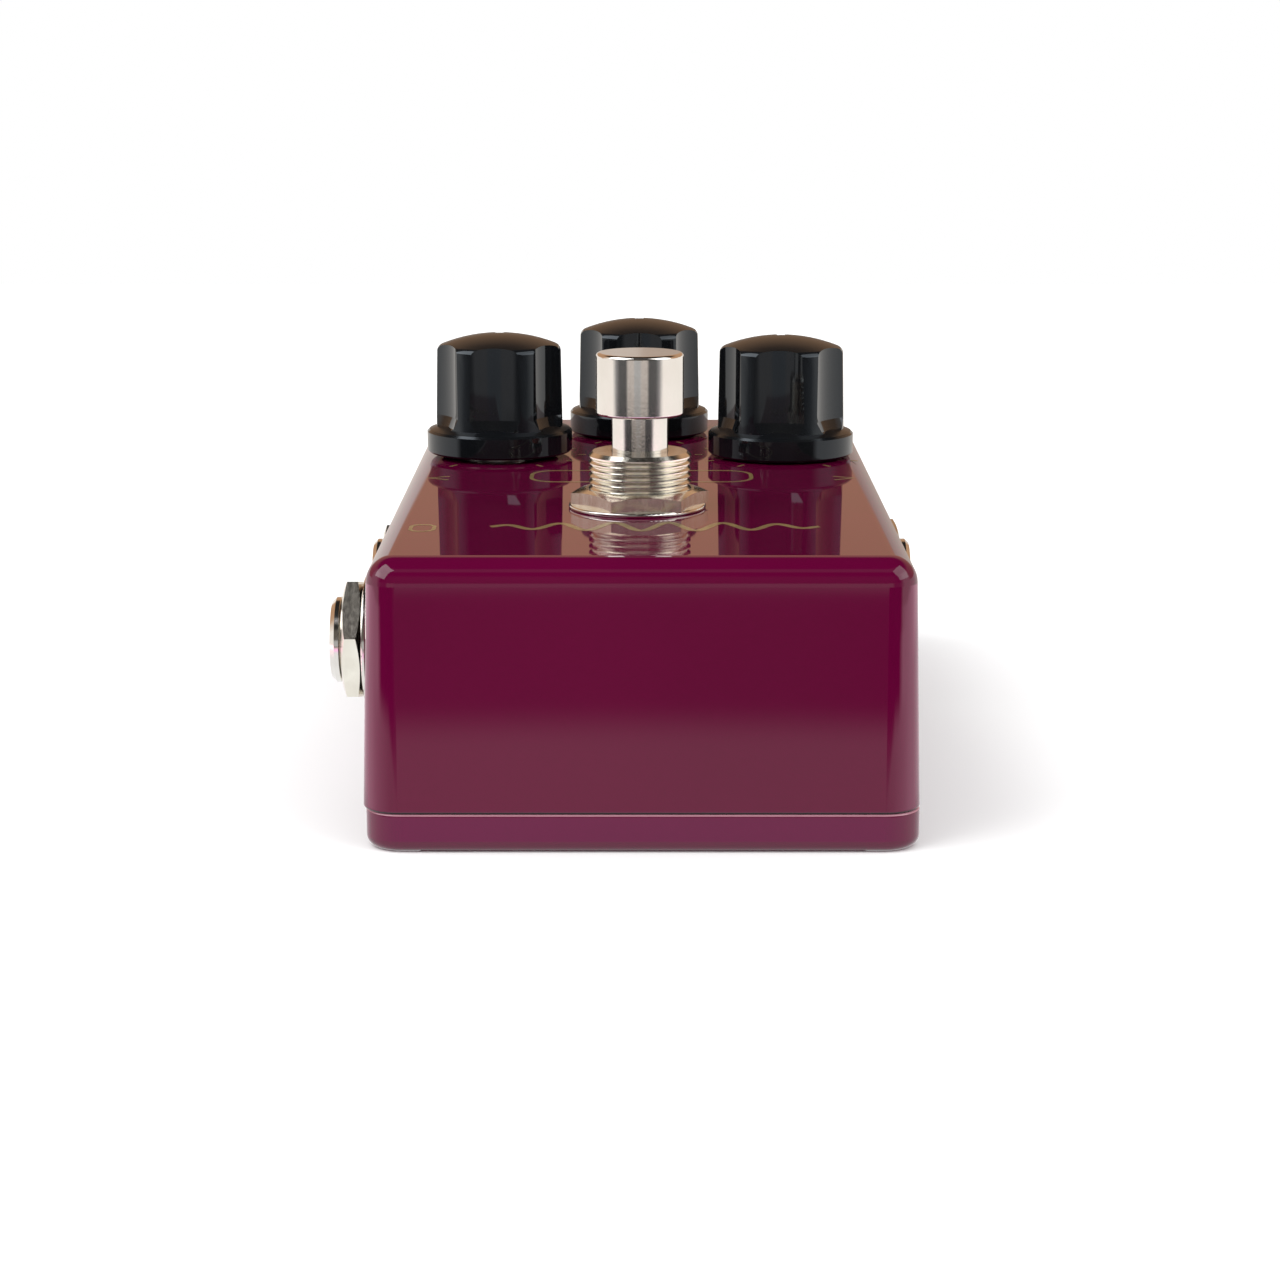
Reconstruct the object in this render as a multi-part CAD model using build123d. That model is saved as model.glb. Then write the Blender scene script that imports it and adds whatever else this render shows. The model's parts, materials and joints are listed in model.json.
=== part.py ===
from build123d import *
from math import cos, radians, sin, sqrt
import os

# A compact guitar effects pedal: a die-cast box that opens from below, three knobs, a latching footswitch,
# three 6.35 mm jacks and a power jack. Millimetres. The origin is the centre of the box on the floor,
# +X is the player's right, +Y is the rear of the pedal and +Z is up.

# ---- Driving dimensions -------------------------------------------------------------------------------
WIDTH = 60.5            # box across, at the seam
LENGTH = 112.0          # box front to rear, at the seam
HEIGHT = 32.0           # floor to top panel
SEAM = 4.3              # height of the bottom cover
WALL = 2.2              # side walls and top panel
CORNER_R = 4.0          # upright corners
TOP_R = 3.0             # edge round the top panel
DRAFT = 1.6             # casting draft, degrees
SCREW_X = 24.9          # cover screws from the centre
SCREW_Y = 50.65

SWITCH_X = -0.2         # footswitch axis
SWITCH_Y = -21.5
KNOB_Y = 19.5           # two front knobs
REAR_KNOB_Y = 39.7      # one rear knob on the centre line
LED_Y = 4.0

JACK_BORE_R = 3.25      # for a 6.35 mm plug
JACK_SLEEVE_R = 4.74
SIDE_JACK_Y = 11.5      # input on the right, output on the left
SIDE_JACK_Z = 17.5
PEDAL_JACK_Y = -40.5    # expression pedal jack, left
PEDAL_JACK_Z = 20.3
JACK_FACE = 30.1        # where the jack washers meet the side walls

KNOB_HEIGHT = 15.3
SKIRT_R = 9.42
SKIRT_HEIGHT = 3.0
GRIP_R = 8.2
GRIP_TOP_R = 8.0
DOME_RISE = 1.65
FLUTES = 6
FLUTE_R = 11.0          # wide shallow flutes: cutter radius and how far out its axis stands
FLUTE_AT = 18.0

BUTTON_TRAVEL = 3.0
BOARD_LOW = 21.5        # underside of the main board
BOARD_HIGH = 23.0

PANEL_IN = HEIGHT - WALL
HALF_W = WIDTH / 2
HALF_L = LENGTH / 2
EPS = 0.05              # radial clearance between pieces of one assembly

KNOBS = {
    "left": dict(x=-18.45, y=KNOB_Y, low=32.6, pin_side=1, turn=-2.0),
    "right": dict(x=18.14, y=KNOB_Y, low=32.3, pin_side=1, turn=-4.6),
    "rear": dict(x=-0.3, y=REAR_KNOB_Y, low=32.35, pin_side=-1, turn=0.0),
}


# ---- Helpers ------------------------------------------------------------------------------------------
def rod(radius, low, high, x=0.0, y=0.0):
    """Upright cylinder between two heights."""
    return Pos(x, y, low) * Cylinder(radius, high - low, align=(Align.CENTER, Align.CENTER, Align.MIN))


def ring(outer, inner, low, high, x=0.0, y=0.0):
    return rod(outer, low, high, x, y) - rod(inner, low - 1, high + 1, x, y)


def washer(outer, inner, low, high):
    """Flat washer with its outer corners rounded."""
    disc = rod(outer, low, high)
    return fillet(disc.edges(), 0.4 * (high - low)) - rod(inner, low - 1, high + 1)


def block(x_span, y_span, z_span):
    """Box given by its low and high coordinate on each axis."""
    spans = (x_span, y_span, z_span)
    middle = [(low + high) / 2 for low, high in spans]
    return Pos(*middle) * Box(*[high - low for low, high in spans])


def turned(points):
    """Solid of revolution about Z from (radius, height) points."""
    return revolve(make_face(Plane.XZ * Polyline(*points, close=True)), Axis.Z)


def rounded_prism(width, length, corner, low, high, taper=0.0):
    return extrude(Pos(0, 0, low) * RectangleRounded(width, length, corner), high - low, taper=taper)


def hex_nut(across_flats, bore, low, high, turn=0.0, both_faces=False):
    """Hexagon nut with its corners chamfered at the outer face, or at both faces."""
    corner_r = across_flats / sqrt(3)
    bevel = 0.55 * (corner_r - across_flats / 2)
    run = 1.6 * (corner_r - across_flats / 2)
    start = low + bevel if both_faces else low
    outline = [(0, low), (corner_r - run if both_faces else corner_r, low), (corner_r, start),
               (corner_r, high - bevel), (corner_r - run, high), (0, high)]
    if not both_faces:
        outline.pop(2)
    hexagon = RegularPolygon(across_flats / 2, 6, major_radius=False)
    prism = extrude(Pos(0, 0, low) * Rot(0, 0, turn) * hexagon, high - low)
    return (prism & turned(outline)) - rod(bore, low - 1, high + 1)


def threaded_sleeve(outer, bore, low, high, thread_low, pitch, depth, chamfer):
    """Tube whose outside carries ring-shaped thread crests from thread_low up to its chamfered end."""
    crests = int((high - chamfer - thread_low) / pitch)
    points = [(bore, low), (outer, low), (outer, thread_low)]
    for crest in range(crests):
        base = thread_low + crest * pitch
        points += [(outer - depth, base + 0.38 * pitch), (outer - depth, base + 0.48 * pitch)]
        points += [(outer, base + 0.86 * pitch), (outer, base + pitch)]
    points += [(outer, high - chamfer), (outer - chamfer, high), (bore, high)]
    return turned(points)


def bent_strip(points, thickness, half_width, y=0.0):
    """Leaf of sheet metal whose edge view is a bent line of (x, z) points."""
    edge_view = Plane.XZ * trace(Polyline(*points), line_width=thickness)
    return Pos(0, y, 0) * extrude(edge_view, half_width, both=True)


def wire(points, radius, bend):
    """Round wire along straight runs that are joined by tangent arcs."""
    path = FilletPolyline(*points, radius=bend)
    start = Plane(origin=path @ 0, z_dir=path % 0)
    return sweep(start * Circle(radius), path=path)


def save(name, *shapes):
    solids = [solid for shape in shapes for solid in shape.solids()]
    export_step(Compound(solids) if len(solids) > 1 else solids[0], f"parts/{name}.step")


# ---- Box and cover ------------------------------------------------------------------------------------
BOSS_R = 3.6
PILOT_R = 1.65
CORNERS = [(sx * SCREW_X, sy * SCREW_Y) for sx in (-1, 1) for sy in (-1, 1)]


def jack_plane(side, y, z):
    """Frame of a side jack: z points out of the box, x points down."""
    return Plane(origin=(side * JACK_FACE, y, z), x_dir=(0, 0, -1), z_dir=(side, 0, 0))


JACKS = {
    "input": jack_plane(1, SIDE_JACK_Y, SIDE_JACK_Z),
    "output": jack_plane(-1, SIDE_JACK_Y, SIDE_JACK_Z),
    "expression": jack_plane(-1, PEDAL_JACK_Y, PEDAL_JACK_Z),
}

POWER_Z = 15.9          # power socket axis
POWER_HALF = 4.5
POWER_LOW = 10.6
POWER_DEPTH = 14.0
POWER_FACE = 55.3


def enclosure_body():
    shell = rounded_prism(WIDTH, LENGTH, CORNER_R, SEAM, HEIGHT, DRAFT)
    shell = fillet(shell.edges().group_by(Axis.Z)[-1], TOP_R)
    shell = fillet(shell.edges().group_by(Axis.Z)[0], 0.35)
    hollow = rounded_prism(WIDTH - 2 * WALL, LENGTH - 2 * WALL, 2.4, SEAM, PANEL_IN, DRAFT)
    hollow = fillet(hollow.edges().group_by(Axis.Z)[-1], 1.0)
    shell -= hollow
    for x, y in CORNERS:
        shell += rod(BOSS_R, SEAM, PANEL_IN + 0.5, x, y)
        shell -= rod(PILOT_R, SEAM - 1, 19.0, x, y)
    shell -= rod(6.15, PANEL_IN - 1, HEIGHT + 1, SWITCH_X, SWITCH_Y)
    shell -= rod(3.12, PANEL_IN - 1, HEIGHT + 1, 0, LED_Y)
    for knob in KNOBS.values():
        shell -= rod(3.55, PANEL_IN - 1, HEIGHT + 1, knob["x"], knob["y"])
    for plane in JACKS.values():
        shell -= plane * rod(4.9, -4, 3)
    socket = block((-POWER_HALF - 0.25, POWER_HALF + 0.25), (50, 60), (POWER_LOW - 0.25, BOARD_LOW + 0.1))
    shell -= fillet(socket.edges().filter_by(Axis.Y), 0.8)
    return shell


COVER_W = WIDTH - 0.3
COVER_X = 0.15          # the cover is cast a little narrow and sits flush on the right
PAD = 6.0               # corner pads that the pedal stands on
RELIEF = 0.25
LIP_W = 55.3
LIP_L = 106.8
LIP_T = 1.1
HEAD_R = 3.2
HEAD_LOW = 0.45


def bottom_cover():
    tray = rounded_prism(COVER_W, LENGTH, CORNER_R, 0, SEAM)
    tray = fillet(tray.edges().group_by(Axis.Z)[0], 1.3)
    tray = fillet(tray.edges().group_by(Axis.Z)[-1], 0.3)
    lip_in = (LIP_W - 2 * LIP_T, LIP_L - 2 * LIP_T)
    tray -= rounded_prism(*lip_in, 1.6, 2.2, SEAM + 1)
    lip = rounded_prism(LIP_W, LIP_L, 2.2, SEAM - 0.5, SEAM + 1.4)
    lip -= rounded_prism(*lip_in, 1.6, SEAM - 1, SEAM + 2)
    for x, y in CORNERS:
        lip -= rod(BOSS_R + 0.4, SEAM, SEAM + 3, x - COVER_X, y)
    tray += lip
    notch_depth = 4.0
    for side in (-1, 1):
        low, high = sorted((side * (HALF_L - notch_depth), side * (HALF_L + 1)))
        tray -= block((-COVER_W / 2 + PAD, COVER_W / 2 - PAD), (low, high), (-1, RELIEF))
        low, high = sorted((side * (COVER_W / 2 - notch_depth), side * (COVER_W / 2 + 1)))
        tray -= block((low, high), (-HALF_L + PAD + 3, HALF_L - PAD - 3), (-1, RELIEF))
    tray = Pos(COVER_X, 0, 0) * tray
    for x, y in CORNERS:
        tray += rod(BOSS_R + 0.9, 1.0, SEAM, x, y) & Pos(COVER_X, 0, 0) * rounded_prism(
            COVER_W - 1, LENGTH - 1, CORNER_R - 0.5, 0, SEAM)
        tray -= rod(1.9, -1, SEAM + 1, x, y)
        cone_low = (HEAD_R + 0.1, -1), (HEAD_R + 0.1, HEAD_LOW + 0.3)
        tray -= Pos(x, y, 0) * turned([(0, -1), *cone_low, (1.85, HEAD_LOW + 1.75), (0, HEAD_LOW + 1.75)])
    return tray


def cover_screw(x, y):
    head = [(0, HEAD_LOW), (HEAD_R, HEAD_LOW), (HEAD_R, HEAD_LOW + 0.25), (1.6, HEAD_LOW + 1.85)]
    shank = turned([*head, (1.6, 13.2), (1.1, 14.0), (0, 14.0)])
    for angle in (0, 90):
        recess = Rot(0, 0, angle) * Box(3.4, 0.75, 2.6)
        shank -= Pos(0, 0, HEAD_LOW) * recess
    return Pos(x, y, 0) * shank


save("enclosure_body", enclosure_body())
save("bottom_cover", bottom_cover())
save("cover_screws", *[cover_screw(x, y) for x, y in CORNERS])


# ---- Potentiometers and knobs -------------------------------------------------------------------------
POT_HALF_X = 4.75
POT_HALF_Y = 5.5
POT_BASE_HIGH = 23.9
POT_BUSHING_TOP = 35.5
SHAFT_R = 3.0
SHAFT_NECK_R = 2.4
ROTOR_R = 3.9


def pot_housing():
    case = block((-POT_HALF_X, POT_HALF_X), (-POT_HALF_Y, POT_HALF_Y), (POT_BASE_HIGH, PANEL_IN))
    case = chamfer(case.edges().filter_by(Axis.Z), 0.8)
    bushing = threaded_sleeve(3.4, 1.0, PANEL_IN - 0.5, POT_BUSHING_TOP, PANEL_IN + 2.6, 0.75, 0.3, 0.4)
    case += bushing
    case -= rod(ROTOR_R + 0.4, POT_BASE_HIGH - 1, 26.4)
    return case - rod(SHAFT_NECK_R + EPS, 20, POT_BUSHING_TOP + 1)


def pot_pins(pin_side):
    return [block((x - 0.4, x + 0.4), (pin_side * 4.6 - 0.15, pin_side * 4.6 + 0.15),
                  (BOARD_LOW - 0.6, POT_BASE_HIGH - 0.4)) for x in (-2.5, 0, 2.5)]


def pot_base(pin_side):
    base = block((-POT_HALF_X, POT_HALF_X), (-POT_HALF_Y, POT_HALF_Y), (BOARD_HIGH, POT_BASE_HIGH))
    base = chamfer(base.edges().filter_by(Axis.Z), 0.8)
    for pin in pot_pins(pin_side):
        base -= pin
    return base


def pot_shaft(low):
    """Rotor inside the housing, neck in the bushing and the flatted end that the knob is clamped to."""
    top = low + 11.2
    outline = [(0, 24.5), (ROTOR_R, 24.5), (ROTOR_R, 25.8), (SHAFT_NECK_R, 25.8), (SHAFT_NECK_R, 35.8),
               (SHAFT_R, 35.8), (SHAFT_R, top - 0.4), (SHAFT_R - 0.4, top), (0, top)]
    flat = block((-4, 4), (2.5, 4), (38.2, 50))
    return turned(outline) - flat


def knob_shell(turn):
    """Fluted skirted knob, base at z = 0: a domed grip with concave flutes and a shallow pointer groove."""
    rim = KNOB_HEIGHT - DOME_RISE
    dome_r = (GRIP_TOP_R ** 2 + DOME_RISE ** 2) / (2 * DOME_RISE)
    dome = Pos(0, 0, KNOB_HEIGHT - dome_r) * Sphere(dome_r)
    skirt = turned([(0, 0), (SKIRT_R - 0.25, 0), (SKIRT_R, 0.25), (SKIRT_R, SKIRT_HEIGHT - 0.35),
                    (SKIRT_R - 0.3, SKIRT_HEIGHT - 0.05), (GRIP_R, SKIRT_HEIGHT + 0.3),
                    (GRIP_R - 0.8, SKIRT_HEIGHT + 0.6), (0, SKIRT_HEIGHT + 0.6)])
    side = Polyline((0, KNOB_HEIGHT), (0, 1), (GRIP_R, 1), (GRIP_R, SKIRT_HEIGHT), (GRIP_TOP_R, rim))
    crown_height = KNOB_HEIGHT - dome_r + sqrt(dome_r ** 2 - (GRIP_TOP_R / 2) ** 2)
    crown = ThreePointArc((GRIP_TOP_R, rim), (GRIP_TOP_R / 2, crown_height), (0, KNOB_HEIGHT))
    outline = make_face(side + crown)
    outline = fillet(outline.vertices().sort_by_distance((GRIP_TOP_R, rim, 0))[0], 0.9)
    grip = revolve(Plane.XZ * outline, Axis.Z)
    run_out = [(FLUTE_R - 1.0, SKIRT_HEIGHT), (FLUTE_R - 0.5, SKIRT_HEIGHT + 0.5), (FLUTE_R, SKIRT_HEIGHT + 1.8)]
    cutter = turned([(0, SKIRT_HEIGHT), *run_out, (FLUTE_R, 20), (0, 20)])
    for step in range(FLUTES):
        angle = radians(90 + turn + step * 360 / FLUTES)
        grip -= Pos(FLUTE_AT * cos(angle), FLUTE_AT * sin(angle), 0) * cutter
    body = skirt + grip
    groove = block((-0.58, 0.58), (0, 9), (8, 20))
    body -= groove - Pos(0, 0, -0.28) * dome
    body -= turned([(0, -1), (7.6, -1), (7.6, 2.0), (5.9, 2.3), (5.9, 4.2), (0, 4.2)])
    body -= rod(INSERT_R + 0.03, 4, 12.0)
    return body - Pos(0, 6, SETSCREW_Z) * Rot(90, 0, 0) * Cylinder(1.7, 12)


INSERT_R = 4.9
SETSCREW_Z = 7.6


def knob_insert():
    insert = ring(INSERT_R, SHAFT_R + EPS, 4.2, 12.0)
    return insert - Pos(0, 6, SETSCREW_Z) * Rot(90, 0, 0) * Cylinder(1.5, 8)


def knob_setscrew():
    """Grub screw that bears on the flat of the shaft, with a hexagon socket in its outer end."""
    screw = Pos(0, 4.6, SETSCREW_Z) * Rot(-90, 0, 0) * chamfer(Cylinder(1.45, 3.9).edges(), 0.25)
    socket = Rot(-90, 0, 0) * extrude(RegularPolygon(0.75, 6, major_radius=False), 3)
    return screw - Pos(0, 5.0, SETSCREW_Z) * socket


for name, knob in KNOBS.items():
    place = Pos(knob["x"], knob["y"], 0)
    seat = Pos(knob["x"], knob["y"], knob["low"])
    save(f"{name}_pot_housing", place * pot_housing())
    save(f"{name}_pot_shaft", place * pot_shaft(knob["low"]))
    save(f"{name}_knob", seat * knob_shell(knob["turn"]))
    save(f"{name}_knob_insert", seat * knob_insert())
    save(f"{name}_knob_setscrew", seat * knob_setscrew())

places = [(Pos(knob["x"], knob["y"], 0), knob["pin_side"]) for knob in KNOBS.values()]
save("pot_bases", *[place * pot_base(side) for place, side in places])
save("pot_pins", *[place * pin for place, side in places for pin in pot_pins(side)])
save("pot_washers", *[place * ring(4.9, 3.45, HEIGHT, HEIGHT + 0.4) for place, _ in places])
save("pot_nuts", *[place * hex_nut(9.0, 3.45, HEIGHT + 0.4, HEIGHT + 2.2) for place, _ in places])


# ---- Footswitch ---------------------------------------------------------------------------------------
STEM_R = 3.28
CAP_R = 5.1
CAP_LOW = 42.95
CAP_HIGH = 50.15
SWITCH_SLEEVE_R = 5.97
SLEEVE_TOP = 38.65
FRAME_LOW = 26.2
FRAME_HIGH = 27.2
SWITCH_HALF = 8.5
CASE_LOW = 15.2
COLLAR_HIGH = FRAME_LOW - 0.1
COLLAR_LOW = 25.0
SPRING_FLOOR = 17.5
LUG_PITCH = 4.8
FOOT_BOARD_LOW = 12.0
FOOT_BOARD_HIGH = 13.6


def switch_frame():
    plate = block((-SWITCH_HALF, SWITCH_HALF), (-SWITCH_HALF, SWITCH_HALF), (FRAME_LOW, FRAME_HIGH))
    plate = fillet(plate.edges().filter_by(Axis.Z), 1.0)
    for side in (-1, 1):
        low, high = sorted((side * SWITCH_HALF, side * (SWITCH_HALF + 0.7)))
        plate += block((low, high), (-6.5, 6.5), (19.0, FRAME_HIGH))
        plate += block(sorted((side * (SWITCH_HALF - 1.2), side * SWITCH_HALF)), (-6.5, 6.5),
                       (FRAME_HIGH - 0.4, FRAME_HIGH))
    sleeve = threaded_sleeve(SWITCH_SLEEVE_R, 1.0, FRAME_LOW, SLEEVE_TOP, 34.4, 0.75, 0.30, 0.45)
    return (plate + sleeve) - rod(STEM_R + EPS, FRAME_LOW - 1, SLEEVE_TOP + 1)


def switch_case():
    case = block((-SWITCH_HALF, SWITCH_HALF), (-SWITCH_HALF, SWITCH_HALF), (CASE_LOW, FRAME_LOW))
    case = chamfer(case.edges().filter_by(Axis.Z), 0.6)
    return case - rod(4.9, SPRING_FLOOR, FRAME_LOW + 1)


def switch_stem():
    """Stem with the collar that stops it under the frame and a pilot that centres the spring."""
    outline = [(0, 21.4), (1.3, 21.4), (1.5, 21.7), (1.5, COLLAR_LOW), (4.3, COLLAR_LOW), (4.3, COLLAR_HIGH),
               (STEM_R, COLLAR_HIGH), (STEM_R, CAP_LOW + 0.4), (2.2, CAP_LOW + 0.4), (2.2, CAP_LOW + 4.0),
               (0, CAP_LOW + 4.0)]
    return turned(outline)


def switch_cap():
    cap = rod(CAP_R, CAP_LOW, CAP_HIGH)
    cap = fillet(cap.edges().group_by(Axis.Z)[-1], 0.45)
    cap = fillet(cap.edges().group_by(Axis.Z)[0], 0.3)
    cap -= rod(STEM_R + 0.02, CAP_LOW - 1, CAP_LOW + 0.4)
    return cap - rod(2.22, CAP_LOW, CAP_LOW + 4.0)


def switch_spring():
    height = COLLAR_LOW - SPRING_FLOOR - 0.7
    path = Helix(pitch=height / 5, height=height, radius=2.4)
    start = Plane(origin=path @ 0, z_dir=path % 0)
    return Pos(0, 0, SPRING_FLOOR + 0.35) * sweep(start * Circle(0.3), path=path)


LUG_GRID = [(x * LUG_PITCH, y * LUG_PITCH) for x in (-1, 0, 1) for y in (-1, 0, 1)]


def switch_lug(x, y, grow=0.0):
    return block((x - 0.9 - grow, x + 0.9 + grow), (y - 0.35 - grow, y + 0.35 + grow),
                 (FOOT_BOARD_LOW - 0.5, CASE_LOW))


def foot_board():
    board = block((-11, 11), (-11, 11), (FOOT_BOARD_LOW, FOOT_BOARD_HIGH))
    board = fillet(board.edges().filter_by(Axis.Z), 1.2)
    for x, y in LUG_GRID:
        board -= switch_lug(x, y, grow=0.1)
    return board


at_switch = Pos(SWITCH_X, SWITCH_Y, 0)
save("footswitch_frame", at_switch * switch_frame())
save("footswitch_case", at_switch * switch_case())
save("footswitch_stem", at_switch * switch_stem())
save("footswitch_cap", at_switch * switch_cap())
save("footswitch_spring", at_switch * switch_spring())
save("footswitch_lugs", *[at_switch * switch_lug(x, y) for x, y in LUG_GRID])
save("footswitch_board", at_switch * foot_board())
save("footswitch_lock_nut", at_switch * hex_nut(14.0, 6.0, FRAME_HIGH, 29.2, 12))
save("footswitch_lock_washer", at_switch * ring(8.0, 6.1, 29.2, PANEL_IN))
save("footswitch_washer", at_switch * Pos(-0.3, 0, 0) * washer(8.0, 6.35, HEIGHT, HEIGHT + 0.5))
save("footswitch_nut", at_switch * hex_nut(14.0, 6.0, HEIGHT + 0.5, HEIGHT + 2.35, turn=6))


# ---- Jacks --------------------------------------------------------------------------------------------
PLATE_OUT = -2.8        # jack measures run outward from the washer's seat
PLATE_IN = -4.0
SLEEVE_END = 4.25
WASHER_T = 0.6
NUT_OUT = 2.9
PLATE_HALF = 6.2
LEG_LOW = 8.0
LEG_HIGH = 6.8
LEAF = 0.4
STACK = (-13.0, -6.0)


def jack_frame():
    """Sleeve bushing, front plate and the leg that carries the contact stack."""
    frame = block((-7.0, LEG_LOW), (-PLATE_HALF, PLATE_HALF), (PLATE_IN, PLATE_OUT))
    frame = chamfer(frame.edges().filter_by(Axis.Z), 1.2)
    frame += threaded_sleeve(JACK_SLEEVE_R, 1.0, PLATE_IN, SLEEVE_END, 1.0, 0.794, 0.3, 0.5)
    frame += block((LEG_HIGH, LEG_LOW), (-4, 4), (-19.0, PLATE_OUT - 0.2))
    frame += block((LEG_HIGH, LEG_LOW), (-7.0, 0), (LUG_OUT - 1.2, LUG_OUT + 1.2))
    return frame - rod(JACK_BORE_R, -10, 10)


def leaf_spring(base_x, bend_z, tip_x, lane, tab_side, tab_out):
    """Contact leaf that leaves the stack at base_x, bends in towards the plug and has one solder tab."""
    middle = base_x - LEAF / 2
    points = [(middle, STACK[1]), (middle, STACK[0] - 2.0), (tip_x, bend_z), (tip_x + 1.7, bend_z - 2.4)]
    leaf = bent_strip(points, LEAF, 1.1, lane)
    tab = block((base_x - LEAF, base_x), sorted((0, tab_side * 7.5)), (tab_out - 1.2, tab_out + 1.2))
    return leaf + tab


def insulator(base_x, thickness):
    return block((base_x - thickness, base_x), (-4, 4), STACK)


SHEET = 0.8
TIP_BASE = LEG_HIGH - SHEET
RING_BASE = TIP_BASE - LEAF - SHEET
TIP_TAB_OUT = -10.8
RING_TAB_OUT = -7.8
LUG_OUT = -15.8
TAB_SIDE = {"input": 1, "output": 1, "expression": -1}

tip_springs = [plane * leaf_spring(TIP_BASE, -21.8, 2.7, 1.3, TAB_SIDE[name], TIP_TAB_OUT)
               for name, plane in JACKS.items()]
ring_spring = JACKS["expression"] * leaf_spring(RING_BASE, -16.6, 2.7, -1.3, -1, RING_TAB_OUT)
insulators = []
for name, plane in JACKS.items():
    insulators += [plane * insulator(LEG_HIGH, SHEET), plane * insulator(TIP_BASE - LEAF, SHEET)]
    save(f"{name}_jack_frame", plane * jack_frame())
insulators.append(JACKS["expression"] * insulator(RING_BASE - LEAF, 0.6))
save("jack_insulators", *insulators)
save("jack_tip_springs", *tip_springs)
save("expression_ring_spring", ring_spring)
save("jack_washers", *[plane * washer(7.15, 4.85, 0, WASHER_T) for plane in JACKS.values()])
save("jack_nuts", *[plane * hex_nut(12.7, 4.78, WASHER_T, NUT_OUT, 42, both_faces=True) for plane in JACKS.values()])


# ---- Power jack ---------------------------------------------------------------------------------------
POWER_PIN_R = 1.0
SOCKET_R = 2.9
SOCKET_DEPTH = 10.0
POWER_BACK = POWER_FACE - POWER_DEPTH


def along_y(radius, low, high):
    """Cylinder on the power socket's axis."""
    return Pos(0, (low + high) / 2, POWER_Z) * Rot(90, 0, 0) * Cylinder(radius, high - low)


def power_housing():
    case = block((-POWER_HALF, POWER_HALF), (POWER_BACK, POWER_FACE), (POWER_LOW, BOARD_LOW))
    case = fillet(case.edges().filter_by(Axis.Y), 0.6)
    case -= along_y(SOCKET_R, POWER_FACE - SOCKET_DEPTH, POWER_FACE + 1)
    case -= along_y(POWER_PIN_R, POWER_BACK - 1, POWER_FACE)
    return case - power_contact()


def power_contact():
    """Spring leaf along the floor of the socket that touches the outside of the plug."""
    leaf = block((-1.2, 1.2), (POWER_BACK + 0.8, POWER_FACE - 2.0), (12.2, 12.6))
    foot = block((-1.2, 3.2), (POWER_BACK + 0.8, POWER_BACK + 1.8), (12.2, 12.6))
    return leaf + foot + block((1.7, 3.2), (POWER_BACK + 0.8, POWER_BACK + 1.2), (12.2, BOARD_LOW))


POWER_TAGS = [(-3.0, 44.2), (3.0, 44.2), (0.0, 43.0)]


def power_tag(x, y, grow=0.0):
    return block((x - 0.5 - grow, x + 0.5 + grow), (y - 0.3 - grow, y + 0.3 + grow),
                 (BOARD_LOW, BOARD_HIGH))


save("power_jack_housing", power_housing())
save("power_jack_pin", along_y(POWER_PIN_R, POWER_BACK - 0.6, POWER_FACE - 0.7))
save("power_jack_contact", power_contact())
save("power_jack_tags", *[power_tag(x, y) for x, y in POWER_TAGS])


# ---- Status light -------------------------------------------------------------------------------------
LED_R = 2.5
LED_LEAD_X = 1.27


def led_bezel():
    bezel = rod(4.0, HEIGHT, HEIGHT + 0.9)
    bezel = chamfer(bezel.edges().group_by(Axis.Z)[-1], 0.5)
    return (bezel + rod(3.0, 28.3, HEIGHT + 0.1)) - rod(LED_R + EPS, 27, HEIGHT + 3)


def led_lens():
    dome = rod(LED_R, 27.0, 31.6) + Pos(0, 0, 31.6) * Sphere(LED_R)
    return dome + rod(2.9, 27.0, 28.0)


def led_lead(side, grow=0.0):
    x = side * LED_LEAD_X
    half = 0.25 + grow
    return block((x - half, x + half), (-half, half), (BOARD_LOW - 0.4, 27.0))


at_led = Pos(0, LED_Y, 0)
save("status_light_bezel", at_led * led_bezel())
save("status_light_lens", at_led * led_lens())
save("status_light_leads", *[at_led * led_lead(side) for side in (-1, 1)])


# ---- Main board ---------------------------------------------------------------------------------------
def main_board():
    board = block((-24.5, 24.5), (1.0, 46.4), (BOARD_LOW, BOARD_HIGH))
    board = fillet(board.edges().filter_by(Axis.Z), 1.5)
    for place, side in places:
        for pin in pot_pins(side):
            board -= place * pin
    for x, y in POWER_TAGS:
        board -= power_tag(x, y, grow=0.05)
    for side in (-1, 1):
        board -= at_led * led_lead(side, grow=0.05)
    return board


CHIPS = [(-7.2, 15.5), (7.2, 15.5)]
CANS = [(-19.5, 30.5), (-12.8, 30.5), (12.8, 30.5), (19.5, 30.5)]
FILMS = [(sx * x, y) for sx in (-1, 1) for x, y in ((19.5, 36.5), (19.5, 41.5), (10.8, 37.0), (10.8, 41.5))]
RESISTORS = [(-8.8 + 2.2 * step, 27.0) for step in range(9)]
TRANSISTORS = [(-9.5, 6.5), (9.5, 6.5)]


def chip(x, y):
    return chamfer(block((x - 3.2, x + 3.2), (y - 4.8, y + 4.8), (23.7, 27.0)).edges(), 0.25)


def chip_legs(x, y):
    legs = []
    for side in (-1, 1):
        for step in range(4):
            leg_y = y - 3.81 + 2.54 * step
            inner, outer = side * 3.2, side * 3.8
            knee = block(sorted((x + inner, x + outer)), (leg_y - 0.6, leg_y + 0.6), (25.2, 25.5))
            drop = block(sorted((x + outer - side * 0.25, x + outer)), (leg_y - 0.25, leg_y + 0.25),
                         (BOARD_HIGH, 25.4))
            legs.append(knee + drop)
    return legs


def can(x, y):
    body = rod(2.5, BOARD_HIGH, 29.2, x, y)
    body = fillet(body.edges().group_by(Axis.Z)[-1], 0.35)
    return body - ring(3.0, 2.3, 28.2, 28.5, x, y)


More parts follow.
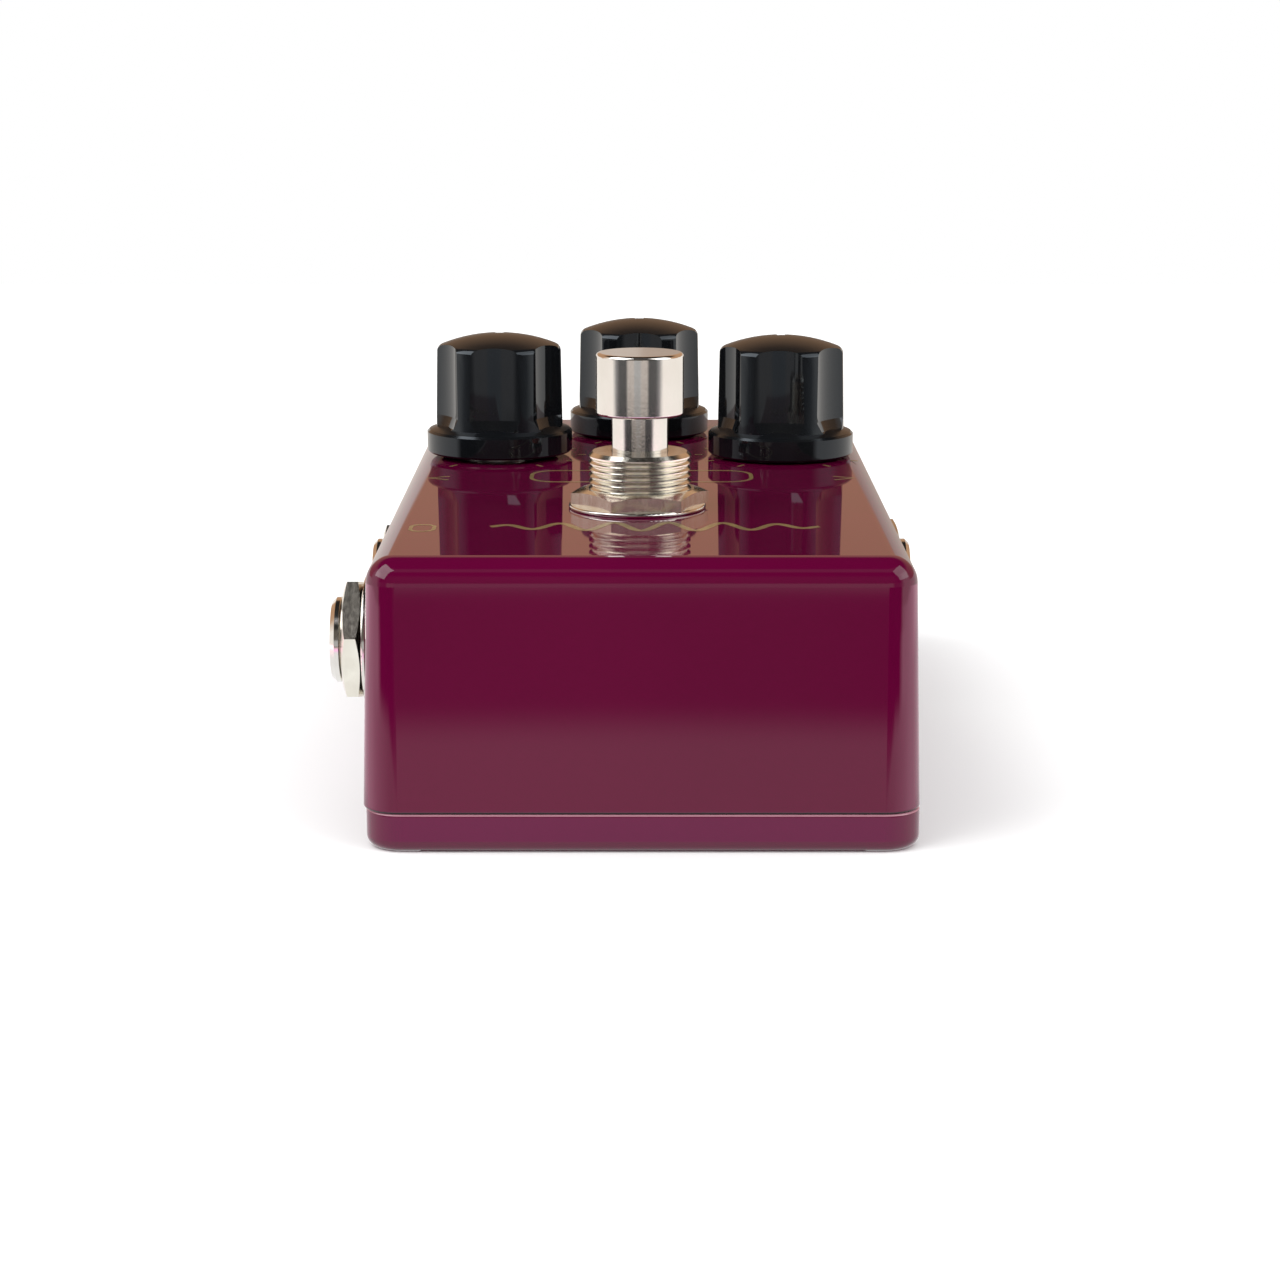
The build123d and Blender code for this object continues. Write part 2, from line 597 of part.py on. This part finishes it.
def film(x, y):
    return fillet(block((x - 3.6, x + 3.6), (y - 1.25, y + 1.25), (BOARD_HIGH, 29.0)).edges(), 0.3)


RESISTOR_Z = 24.3


def resistor(x, y):
    profile = [(0, -2.1), (0.6, -2.1), (1.0, -1.7), (1.0, -1.0), (0.85, -0.8), (0.85, 0.8), (1.0, 1.0),
               (1.0, 1.7), (0.6, 2.1), (0, 2.1)]
    return Pos(x, y, RESISTOR_Z) * Rot(90, 0, 0) * turned(profile)


def resistor_lead(x, y, side):
    points = [(x, y + side * 2.1, RESISTOR_Z), (x, y + side * 3.6, RESISTOR_Z), (x, y + side * 3.6, BOARD_HIGH)]
    return wire(points, 0.25, 0.6)


def transistor(x, y):
    body = rod(2.35, 25.0, 29.4, x, y) - block((x - 4, x + 4), (y + 1.2, y + 4), (20, 31))
    for step in (-1, 0, 1):
        leg_x = x + 1.27 * step
        body += block((leg_x - 0.2, leg_x + 0.2), (y - 0.2, y + 0.2), (BOARD_HIGH, 25.1))
    return body


def optocoupler():
    body = Pos(0, 15.5, 25.7) * Rot(90, 0, 0) * Cylinder(2.6, 9.0)
    return fillet(body.edges(), 0.4)


save("main_board", main_board())
save("chip_packages", *[chip(x, y) for x, y in CHIPS])
save("chip_legs", *[leg for x, y in CHIPS for leg in chip_legs(x, y)])
save("optocoupler", optocoupler())
save("electrolytic_capacitors", *[can(x, y) for x, y in CANS])
save("film_capacitors", *[film(x, y) for x, y in FILMS])
save("resistors", *[resistor(x, y) for x, y in RESISTORS])
save("resistor_leads", *[resistor_lead(x, y, side) for x, y in RESISTORS for side in (-1, 1)])
save("transistors", *[transistor(x, y) for x, y in TRANSISTORS])


# ---- Internal wiring ----------------------------------------------------------------------------------
WIRE_R = 0.6


def ribbon_wire(x):
    """One conductor of the flat cable from the footswitch board up to the main board."""
    foot_y = SWITCH_Y + 9.9
    level = 17.2
    points = [(x, foot_y, FOOT_BOARD_HIGH), (x, foot_y, level), (x, 2.3, level), (x, 2.3, BOARD_LOW)]
    return wire(points, WIRE_R, 2.6)


def side_lead(start, end_x, end_y):
    """Lead from a jack tab up to the underside of the main board."""
    x, y, z = start
    points = [start, (x, y, z + 3.2), (end_x, end_y, BOARD_LOW - 3.0), (end_x, end_y, BOARD_LOW)]
    return wire(points, WIRE_R, 2.2)


def pedal_lead(start, lane_x):
    """Lead from the expression jack, back along the left wall and up to the main board."""
    x, y, _ = start
    level = 18.6
    points = [start, (x, y, level), (lane_x, y + 10.0, level), (lane_x, 3.0, level), (lane_x, 3.0, BOARD_LOW)]
    return wire(points, WIRE_R, 2.0)


def tab_top(jack, down, across, out):
    """Point on the upper face of a jack tab."""
    point = JACKS[jack].from_local_coords(Vector(down, across, out))
    return (point.X, point.Y, point.Z)


TAB_MID = 6.4
input_tip = tab_top("input", TIP_BASE - LEAF, TAB_MID, TIP_TAB_OUT)
input_lug = tab_top("input", LEG_HIGH, -TAB_MID + 0.3, LUG_OUT)
output_tip = tab_top("output", TIP_BASE - LEAF, TAB_MID, TIP_TAB_OUT)
output_lug = tab_top("output", LEG_HIGH, -TAB_MID + 0.3, LUG_OUT)
pedal_ring = tab_top("expression", RING_BASE - LEAF, -TAB_MID, RING_TAB_OUT)
pedal_tip = tab_top("expression", TIP_BASE - LEAF, -TAB_MID, TIP_TAB_OUT)
pedal_lug = tab_top("expression", LEG_HIGH, -TAB_MID + 0.3, LUG_OUT)

save("footswitch_cable", *[ribbon_wire(-5.25 + 1.5 * step) for step in range(8)])
save("jack_leads", side_lead(input_tip, 20.6, 18.8), side_lead(input_lug, 12.4, 4.0),
     side_lead(output_tip, -21.2, 6.2), side_lead(output_lug, -12.6, 18.8),
     pedal_lead(pedal_ring, -19.4), pedal_lead(pedal_tip, -17.4), pedal_lead(pedal_lug, -15.4))
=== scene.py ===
import bmesh
import bpy
import json
from math import cos, pi, radians, sin
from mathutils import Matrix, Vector


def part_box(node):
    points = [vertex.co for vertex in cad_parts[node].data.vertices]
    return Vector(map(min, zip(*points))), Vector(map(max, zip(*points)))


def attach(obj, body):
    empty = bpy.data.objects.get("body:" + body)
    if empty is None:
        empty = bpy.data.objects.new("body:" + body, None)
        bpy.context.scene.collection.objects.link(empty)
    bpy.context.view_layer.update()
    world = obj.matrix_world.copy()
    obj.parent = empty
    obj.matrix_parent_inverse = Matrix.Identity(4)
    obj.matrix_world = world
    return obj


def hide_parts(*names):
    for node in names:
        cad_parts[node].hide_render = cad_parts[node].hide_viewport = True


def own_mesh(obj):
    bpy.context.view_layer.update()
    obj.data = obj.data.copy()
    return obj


# Looks of a compact guitar effects pedal. Metres, in the CAD frame: the origin is the centre of the box on
# the floor, +X is the player's right, +Y the rear of the pedal and +Z up.

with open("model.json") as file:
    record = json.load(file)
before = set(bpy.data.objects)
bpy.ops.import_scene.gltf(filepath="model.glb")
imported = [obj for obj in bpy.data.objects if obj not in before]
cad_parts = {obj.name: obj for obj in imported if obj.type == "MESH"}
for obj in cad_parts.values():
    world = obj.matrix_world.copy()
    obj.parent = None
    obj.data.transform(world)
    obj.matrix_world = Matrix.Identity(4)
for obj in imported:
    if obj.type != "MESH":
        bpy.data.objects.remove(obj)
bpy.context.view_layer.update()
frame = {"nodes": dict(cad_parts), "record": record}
MM = 0.001


# ---- Camera -------------------------------------------------------------------------------------------
FRONT_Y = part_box("enclosure_body")[0].y
CAMERA_X = -0.18 * MM
CAMERA_DISTANCE = 304.8 * MM     # from the front wall
CAMERA_HEIGHT = 89.5 * MM
CAMERA_PITCH = radians(12.209)   # below the horizon
CAMERA_LENS = 82.67              # on a 36 mm sensor

camera_data = bpy.data.cameras.new("camera")
camera_data.lens = CAMERA_LENS
camera_data.sensor_width = 36.0
camera_data.clip_start = 0.01
camera_data.clip_end = 20.0
camera = bpy.data.objects.new("camera", camera_data)
camera.location = (CAMERA_X, FRONT_Y - CAMERA_DISTANCE, CAMERA_HEIGHT)
camera.rotation_euler = (pi / 2 - CAMERA_PITCH, 0, 0)
bpy.context.scene.collection.objects.link(camera)
bpy.context.scene.camera = camera
bpy.context.scene.view_settings.view_transform = "Standard"


# ---- Node helpers -------------------------------------------------------------------------------------
class Tree:
    """Short-hand for building a node tree. A socket value that is itself a socket is linked."""

    def __init__(self, node_tree):
        self.tree = node_tree
        self.tree.nodes.clear()

    def node(self, kind, inputs=None, **settings):
        made = self.tree.nodes.new(kind)
        for key, value in settings.items():
            setattr(made, key, value)
        for key, value in (inputs or {}).items():
            if isinstance(value, bpy.types.NodeSocket):
                self.tree.links.new(value, made.inputs[key])
            else:
                made.inputs[key].default_value = value
        return made

    def math(self, operation, *values):
        return self.node("ShaderNodeMath", dict(enumerate(values)), operation=operation).outputs[0]

    def step(self, value, low, high):
        """0 below low, 1 above high and smooth between."""
        made = self.node("ShaderNodeMapRange", {0: value, 1: low, 2: high, 3: 0.0, 4: 1.0},
                         interpolation_type="SMOOTHSTEP")
        return made.outputs[0]

    def mix(self, factor, low, high):
        made = self.node("ShaderNodeMix", data_type="RGBA")
        for key, value in (("Factor", factor), ("A", low), ("B", high)):
            socket = next(s for s in made.inputs if s.name == key and (
                s.type == "VALUE" if key == "Factor" else s.type == "RGBA"))
            if isinstance(value, bpy.types.NodeSocket):
                self.tree.links.new(value, socket)
            else:
                socket.default_value = value if key == "Factor" else (*value, 1.0)
        return next(s for s in made.outputs if s.type == "RGBA")

    def ramp(self, factor, stops):
        """Colour ramp from (place, colour) pairs."""
        made = self.node("ShaderNodeValToRGB", {0: factor})
        elements = made.color_ramp.elements
        while len(elements) < len(stops):
            elements.new(0.5)
        for element, (place, colour) in zip(elements, stops):
            element.position = place
            element.color = (*colour, 1.0)
        return made.outputs[0]


# ---- Studio -------------------------------------------------------------------------------------------
def grey(level):
    return (level, level, level)


WARM_WHITE = (1.05, 1.00, 0.94)
TAN = (0.54, 0.32, 0.185)
TAN_PALE = (0.46, 0.37, 0.31)
CENTRE_GREY = (0.64, 0.58, 0.54)
BROWN = (0.14, 0.12, 0.10)
PINK_WHITE = (2.2, 1.5, 1.7)
NEAR_FLOOR = grey(1.0)
CEILING = (0.02, 0.018, 0.016)
STRIP = (0.24, 0.22, 0.22)       # soft strip overhead, in front of the pedal
DIFFUSE_LEVEL = 0.90             # what the studio adds to matt surfaces
BACKDROP_LEVEL = 1.0             # what the camera sees of it
TURN = radians(6.0)              # of the whole studio about the vertical

# Bands of the studio from low to high. Each takes over from the one below between two elevations in degrees,
# and its colours run from azimuth 0, in front of the pedal, to 1, behind it.
BANDS = [
    (-26.0, -19.0, [(0.0, (1.35, 0.74, 1.15)), (0.15, (1.2, 0.8, 1.1)), (0.5, (1.3, 1.1, 1.15)),
                    (1.0, grey(0.9))]),
    (-14.4, -13.4, [(0.0, (0.98, 0.68, 0.69)), (0.12, (0.90, 0.72, 0.72)), (0.5, PINK_WHITE),
                    (1.0, grey(0.8))]),
    (-11.1, -10.2, [(0.0, BROWN), (0.05, BROWN), (0.08, grey(0.01)), (0.28, grey(0.01)), (0.36, PINK_WHITE),
                    (0.72, PINK_WHITE), (1.0, TAN_PALE)]),
    (-9.4, -9.0, [(0.0, BROWN), (0.05, BROWN), (0.08, grey(0.02)), (0.31, grey(0.02)), (0.36, WARM_WHITE),
                  (0.85, WARM_WHITE), (1.0, TAN_PALE)]),
    (-8.15, -7.9, [(0.0, grey(0.50)), (0.04, grey(0.52)), (0.06, CENTRE_GREY), (0.135, CENTRE_GREY),
                   (0.17, grey(0.11)), (0.27, grey(0.12)), (0.33, grey(0.32)), (0.39, WARM_WHITE),
                   (0.85, WARM_WHITE), (1.0, TAN_PALE)]),
    (7.6, 8.6, [(0.0, BROWN), (0.30, grey(0.04)), (0.40, WARM_WHITE), (0.50, WARM_WHITE), (0.60, TAN),
                (1.0, TAN)]),
]
CEILING_FROM = (30.0, 44.0)
STRIP_FROM = (52.0, 58.0)
STRIP_TO = (66.0, 72.0)
STRIP_AZIMUTH = (0.2, 0.5)


def make_world():
    world = bpy.data.worlds.new("studio")
    world.use_nodes = True
    bpy.context.scene.world = world
    t = Tree(world.node_tree)
    direction = t.node("ShaderNodeTexCoord").outputs["Generated"]
    x, y, z = t.node("ShaderNodeSeparateXYZ", {0: direction}).outputs
    turned = t.math("ADD", t.math("ARCTAN2", x, t.math("MULTIPLY", y, -1.0)), TURN)
    azimuth = t.math("DIVIDE", t.math("ABSOLUTE", turned), pi)
    elevation = t.math("MULTIPLY", t.math("ARCSINE", z), 180 / pi)
    colour = NEAR_FLOOR
    for low, high, stops in BANDS:
        colour = t.mix(t.step(elevation, low, high), colour, t.ramp(azimuth, stops))
    colour = t.mix(t.step(elevation, *CEILING_FROM), colour, CEILING)
    in_front = t.math("SUBTRACT", 1.0, t.step(azimuth, *STRIP_AZIMUTH))
    overhead = t.math("SUBTRACT", t.step(elevation, *STRIP_FROM), t.step(elevation, *STRIP_TO))
    colour = t.mix(t.math("MULTIPLY", in_front, overhead), colour, STRIP)
    path = t.node("ShaderNodeLightPath").outputs
    colour = t.mix(path["Is Diffuse Ray"], colour, grey(DIFFUSE_LEVEL))
    colour = t.mix(path["Is Camera Ray"], colour, grey(BACKDROP_LEVEL))
    background = t.node("ShaderNodeBackground", {"Color": colour, "Strength": 1.0})
    output = t.node("ShaderNodeOutputWorld")
    t.tree.links.new(background.outputs[0], output.inputs[0])


LIGHT_AIM = (0, 0, 0.02)
LIGHTS = {                       # place, side of the square and watts
    "key_left": ((-1.60, -0.64, 1.76), 2.1, 42.0),
    "fill_right": ((1.76, -0.70, 1.60), 2.0, 22.0),
}
FLOOR_HALF = 0.6
FLOOR_PAPER = (0.93, 0.93, 0.93, 1.0)


def soft_light(name, place, side, power):
    data = bpy.data.lights.new(name, "AREA")
    data.shape = "RECTANGLE"
    data.size = data.size_y = side
    data.energy = power
    light = bpy.data.objects.new(name, data)
    light.location = place
    light.rotation_euler = (Vector(LIGHT_AIM) - Vector(place)).to_track_quat("-Z", "Y").to_euler()
    bpy.context.scene.collection.objects.link(light)


def make_floor():
    mesh = bpy.data.meshes.new("floor")
    corners = [(x * FLOOR_HALF, y * FLOOR_HALF, 0) for x, y in ((-1, -1), (1, -1), (1, 1), (-1, 1))]
    mesh.from_pydata(corners, [], [(0, 1, 2, 3)])
    floor = bpy.data.objects.new("floor", mesh)
    bpy.context.scene.collection.objects.link(floor)
    material = bpy.data.materials.new("floor_paper")
    material.use_nodes = True
    t = Tree(material.node_tree)
    shader = t.node("ShaderNodeBsdfDiffuse", {"Color": FLOOR_PAPER})
    output = t.node("ShaderNodeOutputMaterial")
    t.tree.links.new(shader.outputs[0], output.inputs[0])
    mesh.materials.append(material)
    floor.visible_glossy = False


make_world()
make_floor()
for name, (place, side, power) in LIGHTS.items():
    soft_light(name, place, side, power)


# ---- Materials ----------------------------------------------------------------------------------------
ROUGHNESS_SPREAD = 0.25          # share by which the grain varies the roughness either way
EDGE_BLUR = 0.08 * MM


def surface(name, colours, roughness, metallic=0.0, grain=400.0, patch=90.0, relief=0.02, stretch=(1, 1, 1),
            top_roughness=None, edge=None, **constants):
    """Principled material: patchy colour, roughness that varies a little and a fine relief in millimetres,
    all from noise.

    With top_roughness, faces that look upwards are that rough instead. An edge is two heights in metres and
    the colour painted between them, which stands in for the light and shade at the seam: a painted shadow on
    the box and a painted highlight on the cover."""
    material = bpy.data.materials.new(name)
    material.use_nodes = True
    t = Tree(material.node_tree)
    coordinates = t.node("ShaderNodeTexCoord").outputs
    place = coordinates["Object"]
    patches = t.node("ShaderNodeTexNoise", {"Vector": place, "Scale": patch, "Detail": 3.0}).outputs[0]
    base = t.mix(t.step(patches, 0.35, 0.65), *colours)
    if edge is not None:
        # Painted light and shade: between the two heights the paint takes the given flat colour (a painted
        # seam shadow on the box, a painted rim highlight on the cover).
        bottom, top, painted_light_colour = edge
        z = t.node("ShaderNodeSeparateXYZ", {0: place}).outputs[2]
        painted_light_mask = t.math("SUBTRACT", t.step(z, bottom, bottom + EDGE_BLUR), t.step(z, top - EDGE_BLUR, top))
        base = t.mix(painted_light_mask, base, painted_light_colour)
    scaled = t.node("ShaderNodeMapping", {"Vector": place, "Scale": stretch}).outputs[0]
    grains = t.node("ShaderNodeTexNoise", {"Vector": scaled, "Scale": grain, "Detail": 4.0}).outputs[0]
    low, high = roughness * (1 - ROUGHNESS_SPREAD), roughness * (1 + ROUGHNESS_SPREAD)
    rough = t.node("ShaderNodeMapRange", {0: grains, 1: 0.3, 2: 0.7, 3: low, 4: high}).outputs[0]
    if top_roughness is not None:
        facing = t.node("ShaderNodeSeparateXYZ", {0: coordinates["Normal"]}).outputs[2]
        upward = t.step(facing, 0.6, 0.85)
        blend = {0: upward, 1: 0.0, 2: 1.0, 3: rough, 4: top_roughness}
        rough = t.node("ShaderNodeMapRange", blend).outputs[0]
    bump = t.node("ShaderNodeBump", {"Height": grains, "Strength": 1.0, "Distance": relief * MM}).outputs[0]
    inputs = {"Base Color": base, "Roughness": rough, "Normal": bump, "Metallic": metallic}
    shader = t.node("ShaderNodeBsdfPrincipled", inputs)
    for key, value in constants.items():
        shader.inputs[key.replace("_", " ")].default_value = value
    output = t.node("ShaderNodeOutputMaterial")
    t.tree.links.new(shader.outputs[0], output.inputs[0])
    return material


NICKEL = (0.82, 0.80, 0.765), (0.77, 0.74, 0.70)
MACHINED = (0.92, 0.89, 0.80), (0.82, 0.78, 0.69)

# Slot, its two colours, roughness, metallic, grain, patch, relief and, where the grain is drawn out, stretch.
FINISHES = [
    ("screw_steel", ((0.35, 0.35, 0.36), (0.28, 0.28, 0.29)), 0.32, 1.0, 900, 300, 0.004),
    ("brass", ((0.72, 0.50, 0.20), (0.62, 0.41, 0.15)), 0.3, 1.0, 1200, 200, 0.004),
    ("set_screw_steel", (grey(0.10), grey(0.16)), 0.4, 1.0, 1500, 400, 0.004),
    ("shaft_alloy", (grey(0.70), grey(0.62)), 0.28, 1.0, 900, 200, 0.004, (1, 1, 8)),
    ("pot_metal", (grey(0.60), grey(0.52)), 0.34, 1.0, 900, 250, 0.005),
    ("pot_base_board", ((0.20, 0.09, 0.03), (0.26, 0.13, 0.05)), 0.6, 0.0, 900, 500, 0.01),
    ("tinned_pins", (grey(0.72), grey(0.60)), 0.3, 1.0, 1500, 400, 0.006),
    ("plated_hardware", NICKEL, 0.16, 1.0, 1100, 160, 0.003),
    ("switch_chrome", NICKEL, 0.085, 1.0, 3600, 130, 0.0015),
    ("machined_nickel", MACHINED, 0.18, 1.0, 2200, 260, 0.0018, (1, 1, 0.2)),
    ("switch_plastic", ((0.01, 0.09, 0.33), (0.015, 0.11, 0.38)), 0.4, 0.0, 900, 200, 0.01),
    ("circuit_board", ((0.006, 0.075, 0.022), (0.010, 0.12, 0.035)), 0.3, 0.0, 350, 480, 0.01),
    ("spring_steel", (grey(0.5), grey(0.42)), 0.25, 1.0, 1500, 300, 0.003),
    ("jack_plating", NICKEL, 0.14, 1.0, 1100, 160, 0.003),
    ("insulating_board", ((0.24, 0.11, 0.04), (0.30, 0.15, 0.06)), 0.6, 0.0, 900, 400, 0.01),
    ("contact_alloy", ((0.80, 0.70, 0.48), (0.72, 0.61, 0.38)), 0.22, 1.0, 1200, 250, 0.003),
    ("black_plastic", (grey(0.014), grey(0.02)), 0.45, 0.0, 1400, 300, 0.012),
    ("chip_epoxy", (grey(0.018), grey(0.026)), 0.55, 0.0, 2200, 500, 0.014),
    ("capacitor_sleeve", ((0.01, 0.02, 0.09), (0.015, 0.03, 0.12)), 0.2, 0.0, 700, 200, 0.004),
    ("film_box", ((0.42, 0.02, 0.012), (0.36, 0.016, 0.01)), 0.3, 0.0, 800, 300, 0.01),
    ("resistor_enamel", ((0.10, 0.30, 0.42), (0.08, 0.26, 0.38)), 0.35, 0.0, 900, 300, 0.01),
    ("wire_sleeving", (grey(0.34), grey(0.28)), 0.4, 0.0, 900, 260, 0.008),
]
MATERIALS = {row[0]: surface(*row) for row in FINISHES}

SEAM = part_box("enclosure_body")[0].z
PURPLE = (0.091, 0.0008, 0.0252), (0.085, 0.0006, 0.0234)
PAINT = dict(roughness=0.4, grain=330.0, patch=25.0, relief=0.0022, Specular_IOR_Level=0.0, Coat_Weight=1.0,
             Coat_Roughness=0.03, Coat_IOR=1.5)
# Painted shadow: a near-black band in the box's paint just above the seam, in place of the shade in the gap
# to the cover.
PAINTED_SEAM_SHADOW = (SEAM - MM, SEAM + 0.28 * MM, grey(0.0008))
# Painted highlight: a pale pink band in the cover's paint along its rounded top rim, in place of the light
# that edge catches.
PAINTED_RIM_HIGHLIGHT = (SEAM - 0.22 * MM, SEAM + MM, (0.42, 0.20, 0.25))
MATERIALS["painted_box"] = surface("painted_box", PURPLE, edge=PAINTED_SEAM_SHADOW, **PAINT)
MATERIALS["painted_cover"] = surface("painted_cover", PURPLE, edge=PAINTED_RIM_HIGHLIGHT, **PAINT)

KNOB_BLACK = (0.0040, 0.0045, 0.0056), (0.0055, 0.0058, 0.0066)
MATERIALS["knob_plastic"] = surface("knob_plastic", KNOB_BLACK, 0.05, 0.0, 500, 150, 0.0008,
                                    top_roughness=0.30, Specular_Tint=(0.78, 0.89, 1.0, 1.0))
LENS_RED = (0.75, 0.12, 0.06), (0.65, 0.09, 0.05)
MATERIALS["lens_plastic"] = surface("lens_plastic", LENS_RED, 0.08, 0.0, 600, 200, 0.002,
                                    Transmission_Weight=0.6, IOR=1.49)
INK_GOLD = (0.21, 0.14, 0.045), (0.16, 0.105, 0.035)
ink_gold = surface("ink_gold", INK_GOLD, 0.45, 0.0, 900, 700, 0.002, Coat_Weight=0.6, Coat_Roughness=0.08)
ink_white = surface("ink_white", (grey(0.72), grey(0.62)), 0.5, 0.0, 900, 700, 0.004)

slot_of = {part["node"]: part["material_slot"] for part in frame["record"]["subparts"]}
for name, node in frame["nodes"].items():
    node.data.materials.clear()
    node.data.materials.append(MATERIALS[slot_of[name]])


# ---- Footswitch spring --------------------------------------------------------------------------------
cad_spring = frame["nodes"]["footswitch_spring"]
spring = bpy.data.objects.new("footswitch_coil", cad_spring.data.copy())
spring.matrix_world = cad_spring.matrix_world.copy()
bpy.context.scene.collection.objects.link(spring)
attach(spring, "enclosure")
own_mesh(spring)
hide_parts("footswitch_spring")


def swept(name, rings, material, body, closed=False):
    """Closed solid through four-cornered rings in metres. With closed, the last ring joins the first."""
    mesh = bpy.data.meshes.new(name)
    bm = bmesh.new()
    rings = [[bm.verts.new(corner) for corner in ring] for ring in rings]
    following = rings[1:] + rings[:1] if closed else rings[1:]
    for here, there in zip(rings, following):
        for k in range(4):
            bm.faces.new((here[k], here[(k + 1) % 4], there[(k + 1) % 4], there[k]))
    if not closed:
        bm.faces.new(rings[0][::-1])
        bm.faces.new(rings[-1])
    bmesh.ops.recalc_face_normals(bm, faces=bm.faces)
    bm.to_mesh(mesh)
    bm.free()
    mesh.materials.append(material)
    made = bpy.data.objects.new(name, mesh)
    bpy.context.scene.collection.objects.link(made)
    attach(made, body)


# ---- Printed marks, in millimetres --------------------------------------------------------------------
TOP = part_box("enclosure_body")[1].z
INK = 0.02 * MM
SINK = 0.01 * MM
FRONT = FRONT_Y / MM
KNOBS = ("left", "right", "rear")


def stroke(name, points, width, closed=False):
    """Inked line of even width along (x, y) points on the top panel."""
    rings = []
    count = len(points)
    for i, point in enumerate(points):
        before = points[(i - 1) % count] if closed or i else point
        after = points[(i + 1) % count] if closed or i < count - 1 else point
        along = (Vector(after) - Vector(before)).normalized()
        across = Vector((-along.y, along.x)) * width / 2
        left = tuple((Vector(point) + across) * MM)
        right = tuple((Vector(point) - across) * MM)
        low, high = TOP - SINK, TOP + INK
        rings.append([(*left, low), (*right, low), (*right, high), (*left, high)])
    swept(name, rings, ink_gold, "enclosure", closed)


def rounded_outline(centre, size, radius, steps=8):
    """Corner arcs of a rounded rectangle, as one closed line."""
    points = []
    for quadrant in range(4):
        start = quadrant * pi / 2
        sx = 1 if quadrant in (0, 3) else -1
        sy = 1 if quadrant in (0, 1) else -1
        corner = (centre[0] + sx * (size[0] / 2 - radius), centre[1] + sy * (size[1] / 2 - radius))
        for step in range(steps + 1):
            angle = start + step / steps * pi / 2
            points.append((corner[0] + radius * cos(angle), corner[1] + radius * sin(angle)))
    return points


def knob_place(name):
    """Axis (x, y) of a knob and the height of its crown."""
    low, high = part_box(f"{name}_knob")
    return (low.x + high.x) / 2 / MM, (low.y + high.y) / 2 / MM, high.z / MM


WAVE_X = 1.5
WAVE_Y = FRONT + 21.3
WAVE_HALF = 18.5
WAVE_CYCLES = 6
WAVE_RISE = 2.6
WAVE_WIDTH = 0.9
WAVE_POINTS = 240

wave = []
for step in range(WAVE_POINTS + 1):
    share = step / WAVE_POINTS
    x = -WAVE_HALF + 2 * WAVE_HALF * share
    swell = sin(pi * share) ** 0.5 if 0 < share < 1 else 0.0
    wave.append((x + WAVE_X, WAVE_Y + WAVE_RISE * swell * sin(2 * pi * WAVE_CYCLES * share)))
stroke("mark_wave", wave, WAVE_WIDTH)

led_low, led_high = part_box("status_light_bezel")
WINDOW_Y = (led_low.y + led_high.y) / 2 / MM - 2.5
WINDOW_SIZE = (27.3, 9.0)
WINDOW_RADIUS = 3.2
WINDOW_WIDTH = 0.5
stroke("mark_window", rounded_outline((0, WINDOW_Y), WINDOW_SIZE, WINDOW_RADIUS), WINDOW_WIDTH, closed=True)

LINE = 0.45
ARROW_TIP = 26.3
ARROW_LENGTH = 2.4
ARROW_HALF = 1.4
ARROW_Y = FRONT + 56.0
for side, end in (("left", -1), ("right", 1)):
    tip = end * ARROW_TIP
    tail = tip - end * ARROW_LENGTH
    arrow = [(tail, ARROW_Y + ARROW_HALF), (tip, ARROW_Y), (tail, ARROW_Y - ARROW_HALF)]
    stroke(f"mark_arrow_{side}", arrow, LINE)

SOCKET_CENTRE = (-24.6, FRONT + 20.4)
SOCKET_SIZE = (2.6, 4.2)
SOCKET_RADIUS = 1.2
stroke("mark_pedal_socket", rounded_outline(SOCKET_CENTRE, SOCKET_SIZE, SOCKET_RADIUS), LINE, closed=True)

TICKS = 11
TICK_FIRST = -60                 # degrees from +X
TICK_STEP = 30
TICK_IN = 10.2                   # from the knob's axis
TICK_OUT = 11.2
LONG_TICK_OUT = 11.7             # every fifth
TICK_WIDTH = 0.4
PANEL_HALF = 28.0                # ticks that would pass this are left out
for name in KNOBS:
    axis_x, axis_y, _ = knob_place(name)
    for index in range(TICKS):
        angle = radians(TICK_FIRST + TICK_STEP * index)
        outer = TICK_OUT if index % 5 else LONG_TICK_OUT
        ends = [(axis_x + r * cos(angle), axis_y + r * sin(angle)) for r in (TICK_IN, outer)]
        if abs(ends[1][0]) < PANEL_HALF:
            stroke(f"mark_{name}_tick_{index}", ends, TICK_WIDTH)


# ---- Pointer inlays in the knobs' grooves, in millimetres ----------------------------------------------
POINTER_HALF = 0.5
POINTER_IN = 1.2                 # from the knob's axis
POINTER_OUT = 7.5
POINTER_STEPS = 8
DOME_R = 20.2                    # sphere of the knob's crown
INLAY_LOW = 0.28 + 0.05          # below the crown: the groove's depth and a little sunk in it
INLAY_HIGH = 0.06

for name in KNOBS:
    axis_x, axis_y, top = knob_place(name)
    rings = []
    for step in range(POINTER_STEPS + 1):
        out = POINTER_IN + (POINTER_OUT - POINTER_IN) * step / POINTER_STEPS
        crown = top - DOME_R + (DOME_R ** 2 - out ** 2) ** 0.5
        section = [(-POINTER_HALF, crown - INLAY_LOW), (POINTER_HALF, crown - INLAY_LOW),
                   (POINTER_HALF, crown - INLAY_HIGH), (-POINTER_HALF, crown - INLAY_HIGH)]
        rings.append([((axis_x + x) * MM, (axis_y + out) * MM, z * MM) for x, z in section])
    swept(f"{name}_pointer", rings, ink_white, f"{name}_control")
